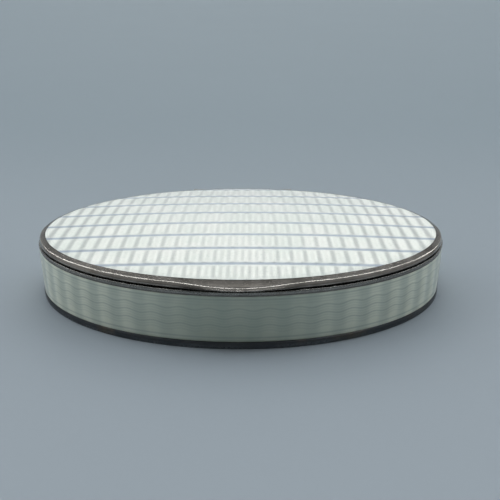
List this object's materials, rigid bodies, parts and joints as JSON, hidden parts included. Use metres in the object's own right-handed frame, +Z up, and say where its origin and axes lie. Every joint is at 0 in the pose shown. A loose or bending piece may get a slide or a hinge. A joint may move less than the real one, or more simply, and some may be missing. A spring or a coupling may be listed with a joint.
{
  "type": "hinged oval pill box",
  "caption": "Flat oval silver pill box with an engine-turned enamel lid and wall, a thumb-piece at the front and a lid that opens on a pinned hinge at the back.",
  "frame": {"origin": "middle of the bounding box, at the level of the foot rim's underside", "axes": "+Z up through the lid, +X along the oval's long axis, -Y towards the thumb-piece, +Y towards the hinge"},
  "size_m": [0.06, 0.0404, 0.0098],
  "materials": {
    "old_silver": "worn polished silver, lightly tarnished",
    "turned_silver": "engine-turned silver",
    "gilt": "satin gilding",
    "lid_enamel": "polished translucent enamel",
    "wall_enamel": "polished translucent enamel",
    "pin_steel": "drawn wire"
  },
  "bodies": {
    "box": {"foot_rim": "old_silver", "base_plate": "gilt", "wall_band": "turned_silver", "wall_enamel": "wall_enamel", "body_rim": "old_silver", "bezel": "gilt", "body_knuckle_left": "old_silver", "body_knuckle_middle": "old_silver", "body_knuckle_right": "old_silver", "hinge_pin": "pin_steel"},
    "lid": {"lid_rim": "old_silver", "lid_plate": "turned_silver", "lid_enamel": "lid_enamel", "lid_knuckle_left": "old_silver", "lid_knuckle_right": "old_silver"}
  },
  "joints": [
    {"name": "lid_hinge", "type": "hinge", "parent": "box", "child": "lid", "pos_m": [0, 0.01957, 0.00745], "axis": [-1, 0, 0], "range_deg": [0, 105]}
  ]
}
